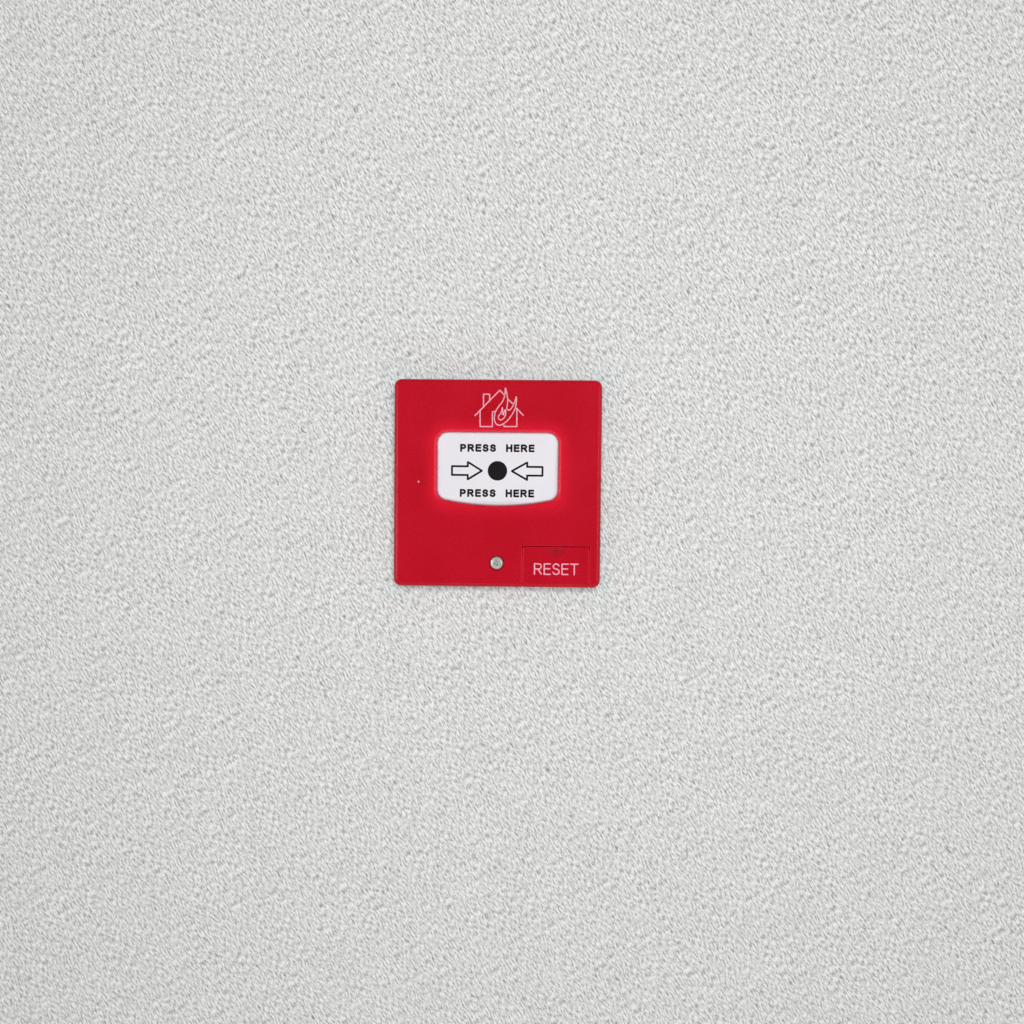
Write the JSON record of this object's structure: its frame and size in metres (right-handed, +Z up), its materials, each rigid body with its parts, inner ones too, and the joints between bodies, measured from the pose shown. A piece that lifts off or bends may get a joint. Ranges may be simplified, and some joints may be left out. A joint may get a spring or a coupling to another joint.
{
  "type": "fire alarm call point",
  "caption": "Square manual call point for a flush wall box, with a pressed operating plate in a window and a sliding reset door.",
  "frame": {"origin": "on the wall's surface, midway between the two wall box screws, behind the middle of the cover", "axes": "+X to the right as the user faces it, +Y into the wall, +Z up"},
  "size_m": [0.086, 0.0278, 0.086],
  "materials": {
    "cover_red": "semi-gloss moulded ABS, solid red",
    "plate_white": "smooth moulded polycarbonate, opaque white",
    "slider_grey": "matt moulded acetal, grey",
    "chassis_grey": "fine-grained moulded ABS, light grey",
    "board_green": "glass-epoxy laminate under green solder mask",
    "plated_steel": "bright zinc-plated steel",
    "insert_brass": "turned brass",
    "terminal_green": "moulded polyamide, green",
    "switch_black": "moulded PBT, black",
    "tinned_wire": "tinned copper",
    "spring_steel": "bright spring steel",
    "plunger_red": "moulded acetal, red",
    "light_clear": "clear moulded polycarbonate",
    "led_white": "white lamp package with a clear lens",
    "capacitor_sleeve": "heat-shrunk sleeve, dark blue",
    "resistor_beige": "baked enamel, beige",
    "diode_black": "moulded epoxy, black"
  },
  "bodies": {
    "housing": {"front_cover": "cover_red", "chassis": "chassis_grey", "circuit_board": "board_green", "board_screws": "plated_steel", "cover_screw": "plated_steel", "screw_insert": "insert_brass", "terminal_block": "terminal_green", "terminal_clamps": "plated_steel", "terminal_screws": "plated_steel", "switch_case": "switch_black", "switch_terminals": "tinned_wire", "switch_hinge_pin": "spring_steel", "light_pipe": "light_clear", "alarm_led": "led_white", "capacitor": "capacitor_sleeve", "resistors": "resistor_beige", "diode": "diode_black", "detent_spring": "spring_steel", "trip_spring": "spring_steel"},
    "operating_plate": {"operating_plate": "plate_white"},
    "reset_slider": {"reset_slider": "slider_grey"},
    "reset_door": {"reset_door": "cover_red"},
    "switch_lever": {"switch_lever": "spring_steel"},
    "switch_plunger": {"switch_plunger": "plunger_red"}
  },
  "joints": [
    {"name": "plate_press", "type": "slide", "parent": "housing", "child": "operating_plate", "axis": [0, 1, 0], "range_m": [0, 0.003]},
    {"name": "reset_slide", "type": "slide", "parent": "housing", "child": "reset_slider", "axis": [0, 0, -1], "range_m": [0, 0.003], "deforming": ["trip_spring"]},
    {"name": "lever_turn", "type": "hinge", "parent": "housing", "child": "switch_lever", "pos_m": [-0.008, -0.0022, 0.0053], "axis": [0, 0, 1], "range_deg": [0, 14.32]},
    {"name": "plunger_press", "type": "slide", "parent": "housing", "child": "switch_plunger", "axis": [0, 1, 0], "range_m": [0, 0.0008]},
    {"name": "door_slide", "type": "slide", "parent": "housing", "child": "reset_door", "axis": [0, 0, -1], "range_m": [0, 0.012]}
  ],
  "couplings": [
    {"joint": "reset_slide", "follows": "plate_press", "ratio": 1},
    {"joint": "lever_turn", "follows": "plate_press", "rad_per_m": 83.333},
    {"joint": "plunger_press", "follows": "plate_press", "ratio": 0.26667}
  ]
}
